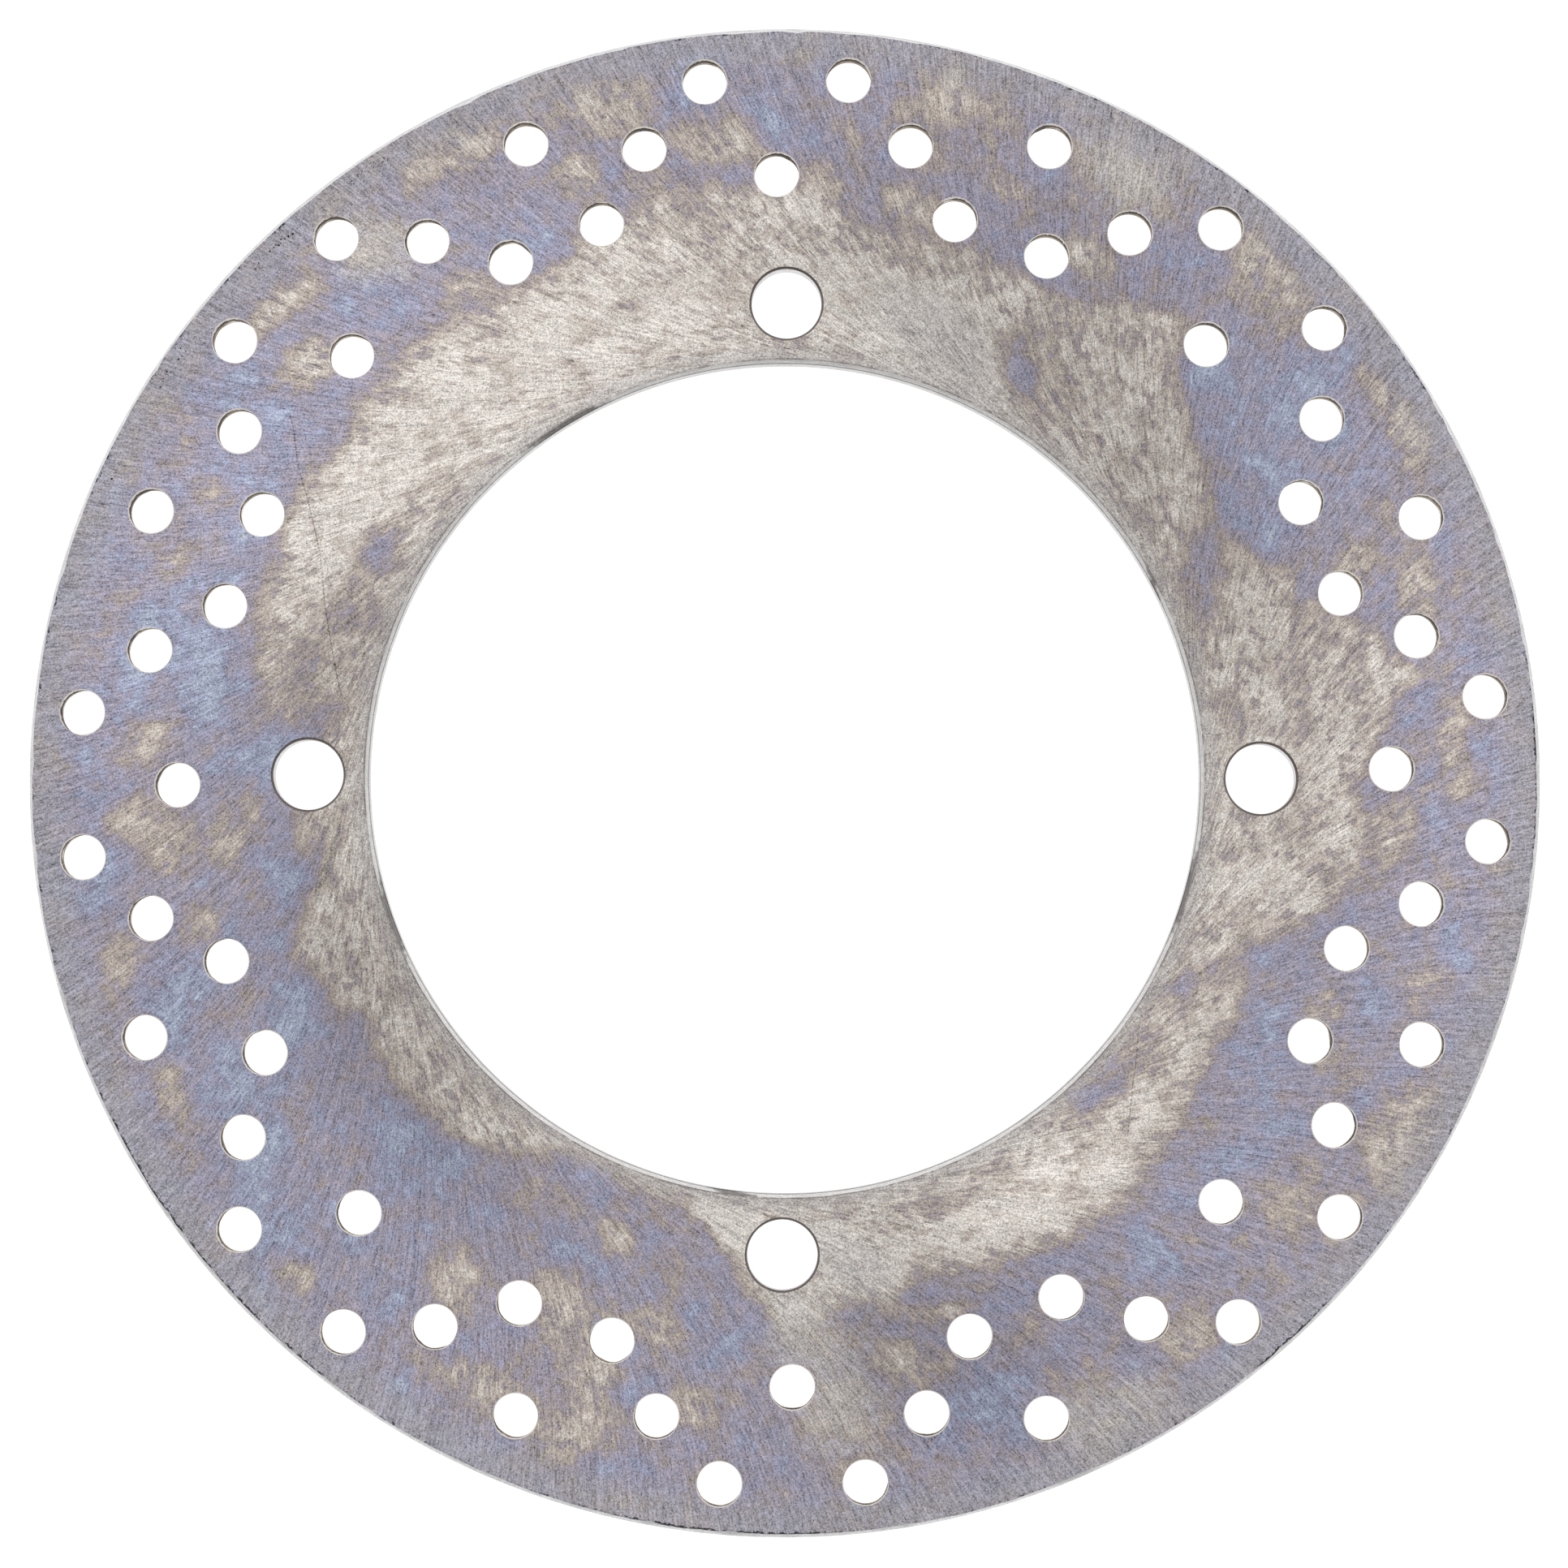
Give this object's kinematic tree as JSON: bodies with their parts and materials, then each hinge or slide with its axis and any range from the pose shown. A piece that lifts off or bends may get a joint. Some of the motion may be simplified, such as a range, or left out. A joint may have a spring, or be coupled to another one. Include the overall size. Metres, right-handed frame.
{
  "type": "brake disc rotor",
  "caption": "Flat brake disc: a ground steel ring with a wide hub bore, bolt holes close round it and small vent holes all over the braking band.",
  "frame": {"origin": "on the wheel axle, at the face that lies against the hub", "axes": "+Z along the wheel axle, from the hub face to the face under the bolt heads; +X through a bolt hole"},
  "size_m": [0.23, 0.23, 0.004],
  "materials": {
    "ground_steel": "ground flat, with heat tint in blue, tan and cream"
  },
  "bodies": {
    "root": {"brake_disc": "ground_steel"}
  },
  "joints": []
}
